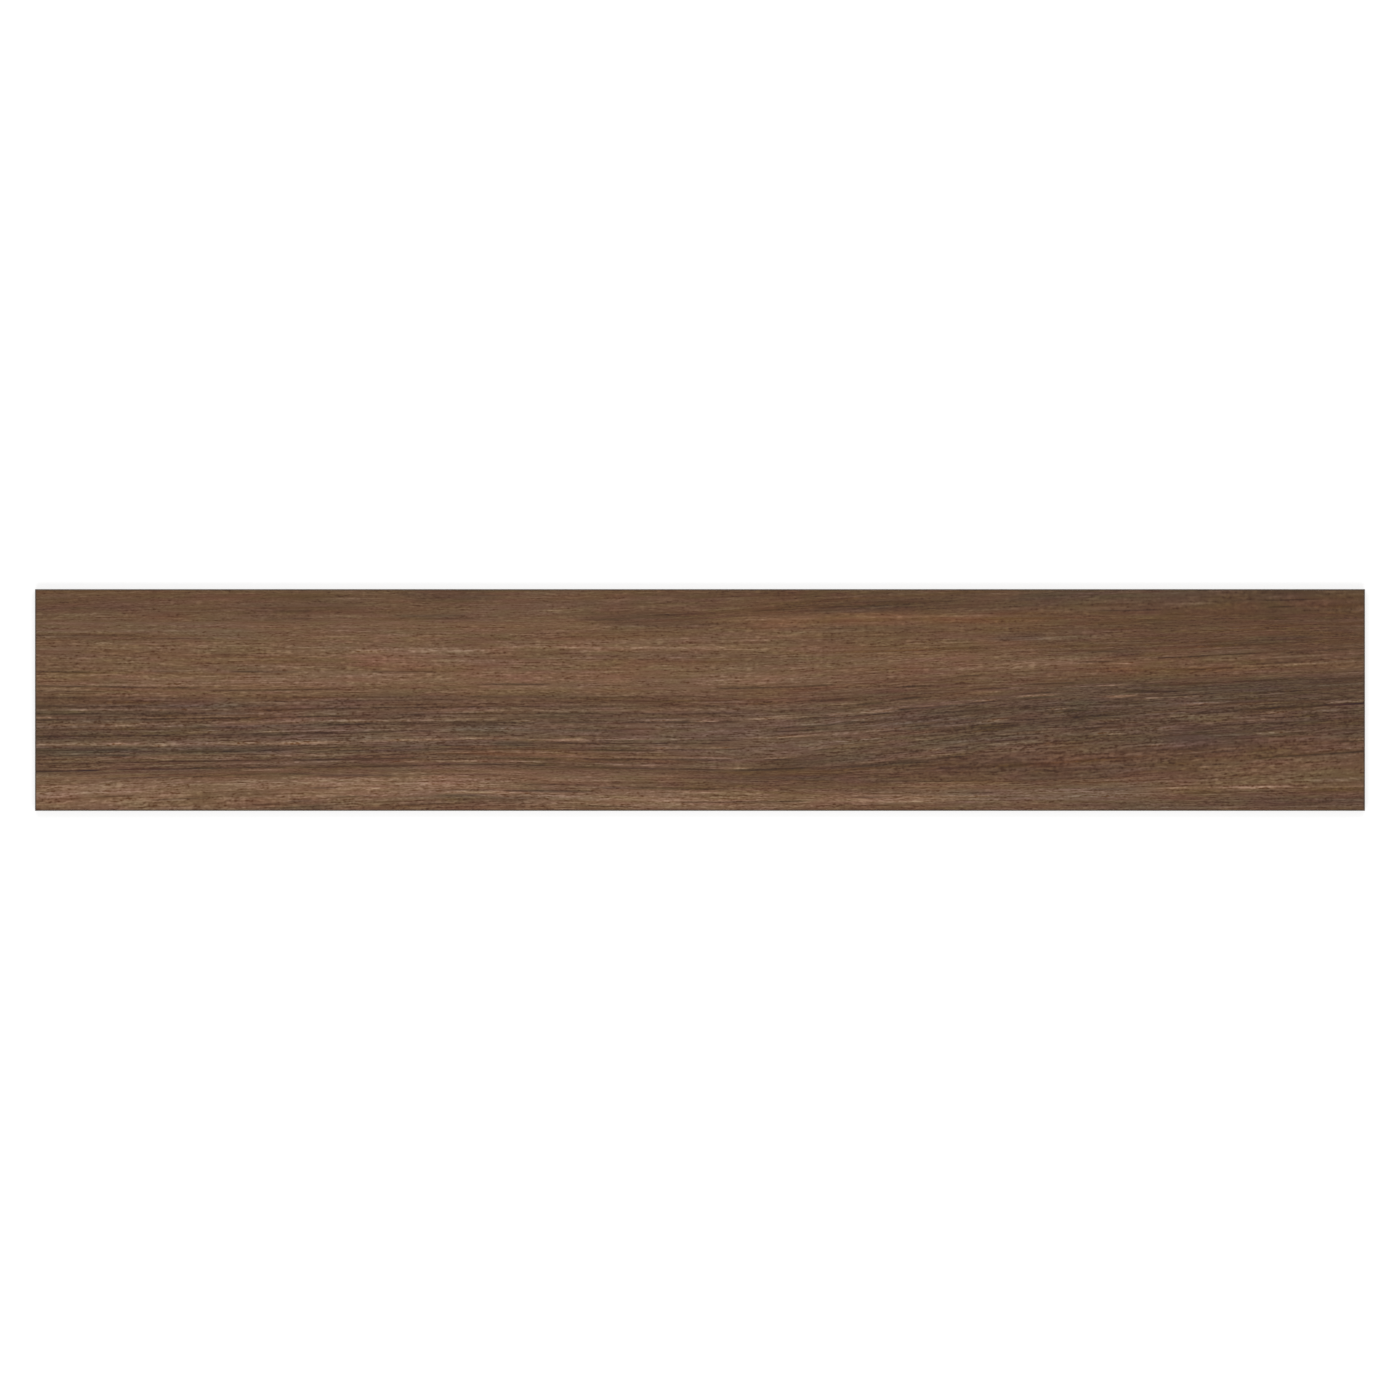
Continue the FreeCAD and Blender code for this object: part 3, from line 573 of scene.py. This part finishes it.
def backPart(first):
    # the back, its points counted from first: a grid on the cells' edges, sunk where both of its lines belong
    # to a cell's floor
    xLines, xFloor = backLines(length)
    yLines, yFloor = backLines(width)
    sunk = plank["cellDepth"] * xFloor[None, :] * yFloor[:, None]
    x = centre[0] + xLines[None, :] + 0 * sunk
    y = centre[1] + yLines[:, None] + 0 * sunk
    points = np.stack((x, y, low[2] + sunk), -1).reshape(-1, 3)
    ids = first + np.arange(len(points)).reshape(sunk.shape)
    quads = gridQuads(first, len(xLines) - 1, len(yLines) - 1)[:, ::-1]
    raised = sunk.ravel()[quads - first] > 0
    isCorner = raised.sum(1) == 1  # a cell's corner folds from its floor to its mouth
    turn = (np.argmax(raised[isCorner], 1)[:, None] + np.arange(4)) % 4
    folded = np.take_along_axis(quads[isCorner], turn, 1)
    triangles = np.concatenate((folded[:, (0, 1, 2)], folded[:, (0, 2, 3)]))
    return points, ids, quads[~isCorner], triangles


def zipStrip(fine, coarse):
    # triangles between two rows of vertices that run side by side, each a number and a place along the row:
    # each fine step meets its nearest coarse vertex, and each coarse step its nearest fine one
    fineIds, coarseIds = fine[:, 0].astype(int), coarse[:, 0].astype(int)
    fineMiddle = (fine[1:, 1] + fine[:-1, 1]) / 2
    coarseMiddle = (coarse[1:, 1] + coarse[:-1, 1]) / 2
    meets = coarseIds[np.searchsorted(coarseMiddle, fineMiddle)]
    turns = fineIds[np.searchsorted(fineMiddle, coarseMiddle)]
    onFine = np.stack((fineIds[1:], fineIds[:-1], meets), -1)
    onCoarse = np.stack((coarseIds[:-1], coarseIds[1:], turns), -1)
    return np.concatenate((onFine, onCoarse))


def borderPart(ringPoints, ringIds, backPoints, backIds):
    # the plain border of the back, between the rim's last ring and the cells, one strip a side
    columns, rows = plank["columns"], plank["rows"]
    corners = np.cumsum((0, columns, rows, columns, rows))
    closedIds = np.append(ringIds, ringIds[0])
    closedPoints = np.concatenate((ringPoints, ringPoints[:1]))
    strips = []
    for side, ids in enumerate((backIds[0], backIds[:, -1], backIds[-1, ::-1], backIds[::-1, 0])):
        part = slice(corners[side], corners[side + 1] + 1)
        axis = side % 2
        sign = 1 if side < 2 else -1
        fine = np.column_stack((closedIds[part], sign * closedPoints[part, axis]))
        coarse = np.column_stack((ids, sign * backPoints[ids - backIds[0, 0], axis]))
        strips.append(zipStrip(fine, coarse))
    return strips


# The flat layout for a baked picture, in shares of it: the face's two halves, then the back and the edges
bakeLayout = {
    "margin": 0.002,
    "faceFoot": (0.338, 0.67),  # the right half and the left
    "faceTall": 0.328,
    "backFoot": 0.07,
    "backTall": 0.26,
    "longEdge": 0.82,
    "endEdge": (0.84, 0.16),  # where an end starts beside a long edge, and its room
    "edgeFoot": (0.036, 0.006),  # edges towards +X or +Y, then the other two
    "edgeTall": 0.024,
}


def bakePlaces(points, kinds):
    # where each corner of the face, the edges and the back lies in that layout
    layout = bakeLayout
    across = (points[:, 0] - low[0]) / length
    up = (points[:, 1] - low[1]) / width
    face, edge, back = (kinds == kind for kind in range(3))
    sideways = np.zeros(len(points))
    upright = np.zeros(len(points))
    rightHalf = np.repeat(points[face, 0].reshape(-1, 4).mean(1) > 0, 4)
    sideways[face] = across[face] * 2 - rightHalf
    upright[face] = np.where(rightHalf, *layout["faceFoot"]) + up[face] * layout["faceTall"]
    sideways[back] = across[back]
    upright[back] = layout["backFoot"] + up[back] * layout["backTall"]
    middle = points[edge].reshape(-1, 4, 3).mean(1)
    gap = np.abs(middle[:, :2]) - np.array((length, width)) / 2
    isEnd = gap[:, 0] > gap[:, 1]
    isPositive = np.where(isEnd, middle[:, 0], middle[:, 1]) > 0
    start, room = layout["endEdge"]
    onEnd = up[edge] * room + start
    sideways[edge] = np.where(np.repeat(isEnd, 4), onEnd, across[edge] * layout["longEdge"])
    depth = (points[edge, 2] - low[2]) / thickness
    upright[edge] = np.where(np.repeat(isPositive, 4), *layout["edgeFoot"]) + layout["edgeTall"] * depth
    return np.column_stack((sideways * (1 - 2 * layout["margin"]) + layout["margin"], upright))


def addMap(mesh, name, places):
    layer = mesh.uv_layers.new(name=name)
    layer.uv.foreach_set("vector", places.astype(np.float32).ravel())


def addObject(name, data):
    made = bpy.data.objects.new(name, data)
    bpy.context.scene.collection.objects.link(made)
    return made


def buildPlank():
    facePoints, grain, tone, lively, grooves = facePart()
    rings, lastRing, rimQuads = rimPart(facePoints)
    firstBack = len(facePoints) + sum(len(ring) for ring in rings)
    backPoints, backIds, backQuads, backTriangles = backPart(firstBack)
    border = borderPart(rings[-1], lastRing, backPoints, backIds)
    faceQuads = gridQuads(0, plank["columns"], plank["rows"])
    groups = [faceQuads, *rimQuads, *border, backQuads, backTriangles]
    kinds = [0] + [1] * len(rimQuads) + [2] * (len(border) + 2)  # face, ground edge, pressed back
    points = np.concatenate((facePoints, *rings, backPoints))
    faces = [polygon for group in groups for polygon in group.tolist()]
    mesh = bpy.data.meshes.new("plankTile")
    mesh.from_pydata(points * mm, [], faces)
    kindOfFace = np.repeat(kinds, [len(group) for group in groups])
    mesh.polygons.foreach_set("material_index", kindOfFace.astype(np.int32))
    mesh.polygons.foreach_set("use_smooth", np.ones(len(faces), bool))
    mesh.set_sharp_from_angle(angle=math.radians(plank["sharpAngle"]))

    # what the materials read: the printed colour, the fibres' liveliness, the grooves and the grain's way
    spare = len(points) - len(facePoints)
    pigment = fromSrgb(tone.reshape(-1, 3)) - printedGlaze["veil"]
    colours = np.ones((len(points), 4), np.float32)
    colours[:len(facePoints), :3] = np.maximum(pigment, printedGlaze["darkest"])
    printColour = mesh.color_attributes.new("printColour", "FLOAT_COLOR", "POINT")
    printColour.data.foreach_set("color", colours.ravel())
    for name, values in (("lively", lively), ("groove", grooves)):
        filled = np.append(values.ravel(), np.zeros(spare)).astype(np.float32)
        mesh.attributes.new(name, "FLOAT", "POINT").data.foreach_set("value", filled)
    corner = np.concatenate([group.ravel() for group in groups])
    kindOfCorner = np.repeat(kinds, [group.size for group in groups])
    grainPlace = points[:, :2].copy()
    grainPlace[:len(facePoints), 1] = grain.ravel()
    addMap(mesh, "grainMap", grainPlace[corner] * mm)
    addMap(mesh, "OFBake", bakePlaces(points[corner], kindOfCorner))
    mesh.update()
    mesh.validate()
    triangles = sum(len(polygon) - 2 for polygon in faces)
    print("plank built:", len(points), "points,", triangles, "triangles")
    return addObject("printedPlank", mesh)


plankTile = buildPlank()
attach(plankTile, "root")
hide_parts("plank_tile")

noiseSpan = (0.3, 0.7)  # levels between which nearly all of a noise lies
noiseCore = (0.35, 0.65)  # and most of it


def addNode(tree, kind, sockets=(), **settings):
    # one node with its settings; its sockets, by name or in their own order, are given values,
    # outputs or other nodes, whose first output is taken
    made = tree.nodes.new(kind)
    for name, value in settings.items():
        setattr(made, name, value)
    for name, value in sockets.items() if isinstance(sockets, dict) else enumerate(sockets):
        source = value.outputs[0] if isinstance(value, bpy.types.Node) else value
        if isinstance(source, bpy.types.NodeSocket):
            tree.links.new(source, made.inputs[name])
        else:
            made.inputs[name].default_value = source
    return made


def newMaterial(name):
    made = bpy.data.materials.new(name)
    made.use_nodes = True
    made.node_tree.nodes.clear()
    return made, made.node_tree


def addSurface(tree, colour, rough, height, bump, shine):
    # the surface itself, raised by height over bump mm
    normal = addNode(tree, "ShaderNodeBump", {"Height": height, "Distance": bump * mm, "Strength": 1.0})
    shader = addNode(
        tree, "ShaderNodeBsdfPrincipled",
        {"Base Color": colour, "Roughness": rough, "Normal": normal, "IOR": 1.5, "Specular IOR Level": shine},
    )
    addNode(tree, "ShaderNodeOutputMaterial", (shader,))


def makeGlaze():
    look = printedGlaze
    shift = look["shift"]
    glaze, tree = newMaterial("matte_printed_glaze")
    place = addNode(tree, "ShaderNodeUVMap", uv_map="grainMap")
    colour = addNode(tree, "ShaderNodeAttribute", attribute_name="printColour").outputs["Color"]
    lively = addNode(tree, "ShaderNodeAttribute", attribute_name="lively").outputs["Fac"]
    groove = addNode(tree, "ShaderNodeAttribute", attribute_name="groove").outputs["Fac"]

    def grainNoise(long, wide, start, detail=0.0):
        # a noise drawn out along the grain
        scaled = addNode(
            tree, "ShaderNodeMapping",
            {"Vector": place, "Location": (start, start, 0), "Scale": (1 / (long * mm), 1 / (wide * mm), 1)},
        )
        sockets = {"Vector": scaled, "Scale": 1.0, "Detail": detail}
        return addNode(tree, "ShaderNodeTexNoise", sockets, noise_dimensions="2D")

    def dashes(name, sign):
        # dashes where a noise rises over a level, gathered in rows
        long, wide, share = look[name]
        strokes = grainNoise(long, wide, shift[name])
        strokes = addNode(tree, "ShaderNodeMapRange", (strokes, *look["dashLevels"], 0.0, sign * share))
        rows = grainNoise(*look["cluster"], shift[name] + shift["cluster"])
        rows = addNode(tree, "ShaderNodeMapRange", (rows, *noiseCore, *look["clusterSwing"]))
        return addNode(tree, "ShaderNodeMath", (strokes, rows), operation="MULTIPLY")

    # the fibres: layers of noise added up, peaked, made fainter or stronger in patches, with flecks and pores
    fibres = 0.0
    for count, (long, wide, share) in enumerate(look["fibres"]):
        layer = grainNoise(long, wide, shift["fibres"] + shift["layer"] * count)
        layer = addNode(tree, "ShaderNodeMapRange", (layer, 0.0, 1.0, -share / 2, share / 2))
        fibres = addNode(tree, "ShaderNodeMath", (layer, fibres), operation="ADD")
    small, large = look["peaked"]
    strength = addNode(tree, "ShaderNodeMath", (fibres,), operation="ABSOLUTE")
    peaked = addNode(tree, "ShaderNodeMath", (strength, large, small), operation="MULTIPLY_ADD")
    fibres = addNode(tree, "ShaderNodeMath", (fibres, peaked), operation="MULTIPLY")
    patch = grainNoise(*look["patch"], shift["patch"], 1.0)
    patch = addNode(tree, "ShaderNodeMapRange", (patch, *noiseSpan, *look["patchSwing"]))
    flecked = addNode(tree, "ShaderNodeMath", (dashes("fleck", 1), dashes("pore", -1)), operation="ADD")
    fibres = addNode(tree, "ShaderNodeMath", (fibres, patch, flecked), operation="MULTIPLY_ADD")

    # what they, a slow drift of hue and painted shade along the face's edge do to the printed colour
    full = look["fullSwing"]
    swing = addNode(tree, "ShaderNodeMath", (fibres, lively), operation="MULTIPLY")
    swing = addNode(tree, "ShaderNodeMapRange", (swing, -full, full, 0.0, 1.0))
    long, wide, drift = look["blotch"]
    blotch = grainNoise(long, wide, shift["blotch"], 2.0)
    blotch = addNode(tree, "ShaderNodeMapRange", (blotch, *noiseSpan, 0.0, 1.0))
    warm, cool = ([1 + sign * drift * part for part in look["blotchHue"]] for sign in (1, -1))
    for share, one, other in ((swing, look["dark"], look["light"]), (blotch, warm, cool)):
        sockets = {"Factor": share, 6: (*one, 1), 7: (*other, 1)}
        shade = addNode(tree, "ShaderNodeMix", sockets, data_type="RGBA").outputs[2]
        colour = addNode(tree, "ShaderNodeVectorMath", (colour, shade), operation="MULTIPLY")
    # painted shade: the printed colour darkens towards the bevel, as a thin dark line round the face
    spot = addNode(tree, "ShaderNodeTexCoord").outputs["Object"]
    toEdge = []
    for side, size in zip(addNode(tree, "ShaderNodeSeparateXYZ", (spot,)).outputs, (length, width)):
        away = addNode(tree, "ShaderNodeMath", (side,), operation="ABSOLUTE")
        inner = (size / 2 - plank["faceArris"]) * mm
        toEdge.append(addNode(tree, "ShaderNodeMath", (inner, away), operation="SUBTRACT"))
    nearest = addNode(tree, "ShaderNodeMath", toEdge, operation="MINIMUM")
    reach, kept = look["paintedEdgeShade"]
    edgeShade = addNode(tree, "ShaderNodeMapRange", (nearest, 0.0, reach * mm, kept, 1.0))
    colour = addNode(tree, "ShaderNodeVectorMath", {0: colour, "Scale": edgeShade}, operation="SCALE")

    rough = addNode(tree, "ShaderNodeMath", (fibres, look["roughFibres"], groove), operation="MULTIPLY_ADD")
    rough = addNode(tree, "ShaderNodeMapRange", (rough, *look["roughLevels"], *look["roughness"]))
    addSurface(tree, colour, rough, fibres, look["bump"], look["shine"])
    return glaze


# Fired porcelain body, stained brown to match: dense, matte and faintly speckled where ground or pressed
porcelainBody = {
    "colour": {"ground": "#54463b", "pressed": "#6d5d50"},  # cut edges, darker partly as the body's own colour and partly as painted shade for the dark line round the face; back as the die left it
    "roughness": {"ground": (0.55, 0.75), "pressed": (0.75, 0.9)},
    "bump": {"ground": 0.02, "pressed": 0.06},  # mm
    "mark": {"ground": (60, 60, 0.35), "pressed": (2.8, 2.8, 2.8)},  # mm along, across and up
    "speckLight": "#8a7a6a",
    "speckDark": "#4a3d34",
    "speckStops": (0.3, 0.44, 0.6, 0.74),  # noise levels: dark, plain from here to here, light
    "speck": (0.7, 0.7, 0.7),
    "wash": "#b9aea0",  # pale kiln wash that stays on the ribs
    "washHeight": (0.02, 0.35),  # mm up from the ribs, where it is thickest and where it thins out
    "washShare": (0.75, 0.12),
    "washPatch": (50 / 3, 50 / 3, 50 / 3),
    "washWorn": (0.2, 1.0),
    "shine": 0.3,
}


def makeBody(name, kind):
    look = porcelainBody
    body, tree = newMaterial(name)
    place = addNode(tree, "ShaderNodeTexCoord").outputs["Object"]

    def noise(sizes, detail):
        # a noise of these sizes in mm
        scale = [1 / (size * mm) for size in sizes]
        scaled = addNode(tree, "ShaderNodeMapping", {"Vector": place, "Scale": scale})
        return addNode(tree, "ShaderNodeTexNoise", {"Vector": scaled, "Scale": 1.0, "Detail": detail})

    colour = addNode(tree, "ShaderNodeValToRGB", (noise(look["speck"], 2.0),))
    stops = colour.color_ramp.elements
    for position in look["speckStops"][1:-1]:
        stops.new(position)
    plain = look["colour"][kind]
    shades = (look["speckDark"], plain, plain, look["speckLight"])
    for stop, position, shade in zip(stops, look["speckStops"], shades):
        stop.position = position
        stop.color = (*linear(shade), 1)
    if kind == "pressed":
        height = addNode(tree, "ShaderNodeSeparateXYZ", (place,)).outputs["Z"]
        levels = (level * mm for level in look["washHeight"])
        onRib = addNode(tree, "ShaderNodeMapRange", (height, *levels, *look["washShare"]))
        worn = noise(look["washPatch"], 4.0)
        worn = addNode(tree, "ShaderNodeMapRange", (worn, *noiseCore, *look["washWorn"]))
        share = addNode(tree, "ShaderNodeMath", (onRib, worn), operation="MULTIPLY")
        sockets = {"Factor": share, 6: colour, 7: (*linear(look["wash"]), 1)}
        colour = addNode(tree, "ShaderNodeMix", sockets, data_type="RGBA").outputs[2]
    marks = noise(look["mark"][kind], 3.0)
    rough = addNode(tree, "ShaderNodeMapRange", (marks, *noiseSpan, *look["roughness"][kind]))
    addSurface(tree, colour, rough, marks, look["bump"][kind], look["shine"])
    return body


plankTile.data.materials.append(makeGlaze())
plankTile.data.materials.append(makeBody("ground_porcelain_edge", "ground"))
plankTile.data.materials.append(makeBody("pressed_porcelain_back", "pressed"))
print("materials made")


# The studio: pale floor, two long softboxes beside the plank and a dim sky, so that colours look as written
studio = {
    "floorSize": 14.0,  # metres
    "floorGap": 0.05,  # mm below the plank
    "floorColour": "#c4c4c4",
    "floorGlow": (0.64, 0.86),  # added for the eye only, near and far, so that the unshaded floor is white
    "glowReach": (0.9, 3.0),  # metres from the plank's middle between which it grows, as the softboxes fade
    "white": (1, 1, 1, 1),
    "skyLight": 0.34,
    "softboxes": ((-1.5, 24.5), (1.5, 20.5)),  # metres across the plank, watts
    "softboxHeight": 1.7,
    "softboxSize": (2.6, 1.0),
}


def seenRays(tree):
    # 1 for what the eye sees straight, mirrored or through glass, 0 for the light that falls on things
    path = addNode(tree, "ShaderNodeLightPath").outputs
    seen = path["Is Camera Ray"]
    for ray in ("Is Glossy Ray", "Is Transmission Ray"):
        seen = addNode(tree, "ShaderNodeMath", (seen, path[ray]), operation="MAXIMUM")
    return seen


def makeFloor():
    half = studio["floorSize"] / 2
    level = (low[2] - studio["floorGap"]) * mm
    mesh = bpy.data.meshes.new("studioFloor")
    corners = [(x * half, y * half, level) for x, y in ((-1, -1), (1, -1), (1, 1), (-1, 1))]
    mesh.from_pydata(corners, [], [(0, 1, 2, 3)])
    floor = addObject("studioFloor", mesh)
    pale, tree = newMaterial("pale_floor")
    diffuse = addNode(tree, "ShaderNodeBsdfDiffuse", {"Color": (*linear(studio["floorColour"]), 1)})
    spot = addNode(tree, "ShaderNodeTexCoord").outputs["Object"]
    away = addNode(tree, "ShaderNodeVectorMath", (spot,), operation="LENGTH").outputs["Value"]
    whitening = addNode(tree, "ShaderNodeMapRange", (away, *studio["glowReach"], *studio["floorGlow"]))
    glow = addNode(tree, "ShaderNodeMath", (seenRays(tree), whitening), operation="MULTIPLY")
    emission = addNode(tree, "ShaderNodeEmission", {"Color": studio["white"], "Strength": glow})
    both = addNode(tree, "ShaderNodeAddShader", (diffuse, emission))
    addNode(tree, "ShaderNodeOutputMaterial", (both,))
    mesh.materials.append(pale)


def makeLights():
    world = bpy.data.worlds.new("studioSky")
    world.use_nodes = True
    tree = world.node_tree
    tree.nodes.clear()
    strength = addNode(tree, "ShaderNodeMapRange", (seenRays(tree), 0.0, 1.0, studio["skyLight"], 1.0))
    sky = addNode(tree, "ShaderNodeBackground", {"Color": studio["white"], "Strength": strength})
    addNode(tree, "ShaderNodeOutputWorld", (sky,))
    bpy.context.scene.world = world
    for count, (across, watts) in enumerate(studio["softboxes"]):
        lamp = bpy.data.lights.new(f"softbox{count}", "AREA")
        lamp.shape = "RECTANGLE"
        lamp.size, lamp.size_y = studio["softboxSize"]
        lamp.energy = watts
        box = addObject(f"softbox{count}", lamp)
        box.location = (0, across, studio["softboxHeight"])
        box.rotation_euler = (math.atan2(-across, studio["softboxHeight"]), 0, 0)
        box.visible_camera = False


# The camera looks straight down on the plank, which is 1330 of the picture's 1400 pixels long
shot = {
    "pictureWidth": 1400,
    "plankPixels": 1330,
    "lens": 200.0,  # mm, long, so that the sides stay hidden
    "sensor": 36.0,
    "clipEnd": 100,  # metres
}


def makeCamera():
    seen = length * mm * shot["pictureWidth"] / shot["plankPixels"]
    data = bpy.data.cameras.new("overhead")
    data.lens = shot["lens"]
    data.sensor_width = shot["sensor"]
    data.clip_end = shot["clipEnd"]
    camera = addObject("overhead", data)
    camera.location = (0, 0, high[2] * mm + seen * shot["lens"] / shot["sensor"])
    bpy.context.scene.camera = camera


makeFloor()
makeLights()
makeCamera()
bpy.context.scene.view_settings.view_transform = "Standard"
print("studio and camera set")
